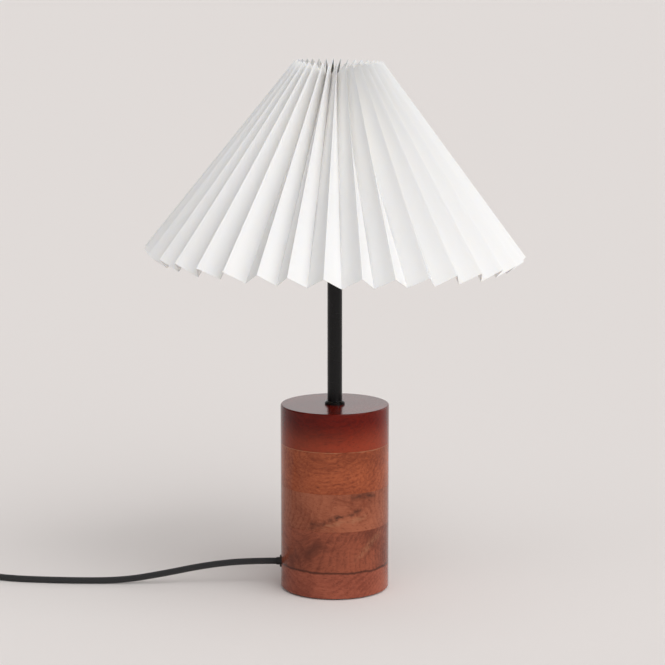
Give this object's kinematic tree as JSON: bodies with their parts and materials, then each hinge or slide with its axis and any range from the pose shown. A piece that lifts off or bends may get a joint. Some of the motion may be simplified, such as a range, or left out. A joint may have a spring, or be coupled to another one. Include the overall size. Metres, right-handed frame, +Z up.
{
  "type": "pleated paper table lamp",
  "caption": "Table lamp with a pleated white paper shade on a wire carrier, a black stem, a glued turned wood base and a black cord with switch and plug.",
  "frame": {"origin": "on the table, under the centre of the round base", "axes": "+Z up along the stem; the cord leaves the base along -X; the front of the picture looks along +Y"},
  "size_m": [0.7294, 0.3466, 0.488],
  "materials": {
    "wood": "satin lacquer",
    "felt": "felt",
    "fibreboard": "plain",
    "steel": "zinc plated",
    "black_metal": "satin black",
    "holder_plastic": "satin black",
    "ceramic": "glazed",
    "brass": "plain",
    "black_plastic": "satin black",
    "textile_cord": "braided",
    "lead_insulation": "smooth",
    "strap": "woven",
    "pin_metal": "nickel plated",
    "carrier_metal": "white",
    "paper": "matt",
    "thread": "twisted",
    "opal_glass": "opal",
    "cap_brass": "nickel plated brass",
    "insulator": "glazed black",
    "solder": "solder",
    "rocker_plastic": "satin black"
  },
  "bodies": {
    "lamp": {"base_board_1": "wood", "base_board_2": "wood", "base_board_3": "wood", "base_board_4": "wood", "base_board_5": "wood", "foot_pad": "felt", "base_cover": "fibreboard", "cover_screws": "steel", "rod_washer": "steel", "rod_nut": "steel", "threaded_rod": "steel", "stem_tube": "black_metal", "stem_collar": "black_metal", "holder_cap": "holder_plastic", "holder_mantle": "holder_plastic", "holder_insert": "ceramic", "centre_contact": "brass", "side_contacts": "brass", "terminals": "brass", "cable_bushing": "black_plastic", "cord_stop": "black_plastic", "cord_stop_screw": "steel", "inner_cable": "textile_cord", "lead_wires": "lead_insulation", "cord_lamp_run": "textile_cord", "switch_lower": "black_plastic", "switch_upper": "black_plastic", "switch_screws": "steel", "rocker_pivot": "steel", "cord_plug_run": "textile_cord", "cord_coil": "textile_cord", "coil_tie": "strap", "cord_tail": "textile_cord", "plug_body": "black_plastic", "plug_pins": "pin_metal"},
    "clamp_ring": {"clamp_ring": "holder_plastic"},
    "carrier": {"fitter_ring": "carrier_metal", "carrier_legs": "carrier_metal", "top_ring": "carrier_metal"},
    "shade": {"shade_paper": "paper", "shade_drawstring": "thread"},
    "bulb": {"bulb_glass": "opal_glass", "bulb_cap": "cap_brass", "bulb_insulator": "insulator", "bulb_contact": "solder"},
    "rocker": {"switch_rocker": "rocker_plastic"}
  },
  "joints": [
    {"name": "carrier_turn", "type": "hinge", "parent": "lamp", "child": "carrier", "pos_m": [0, 0, 0.331], "axis": [0, 0, 1], "continuous": true},
    {"name": "shade_lift", "type": "slide", "parent": "carrier", "child": "shade", "axis": [0, 0, 1], "range_m": [0, 0.18]},
    {"name": "clamp_ring_turn", "type": "hinge", "parent": "lamp", "child": "clamp_ring", "pos_m": [0, 0, 0.336], "axis": [0, 0, 1], "range_deg": [0, 540]},
    {"name": "bulb_lift", "type": "slide", "parent": "lamp", "child": "bulb", "axis": [0, 0, 1], "range_m": [0, 0.03]},
    {"name": "rocker_tip", "type": "hinge", "parent": "lamp", "child": "rocker", "pos_m": [-0.397, 0.034, 0.0135], "axis": [0, 1, 0], "range_deg": [0, 24]}
  ]
}
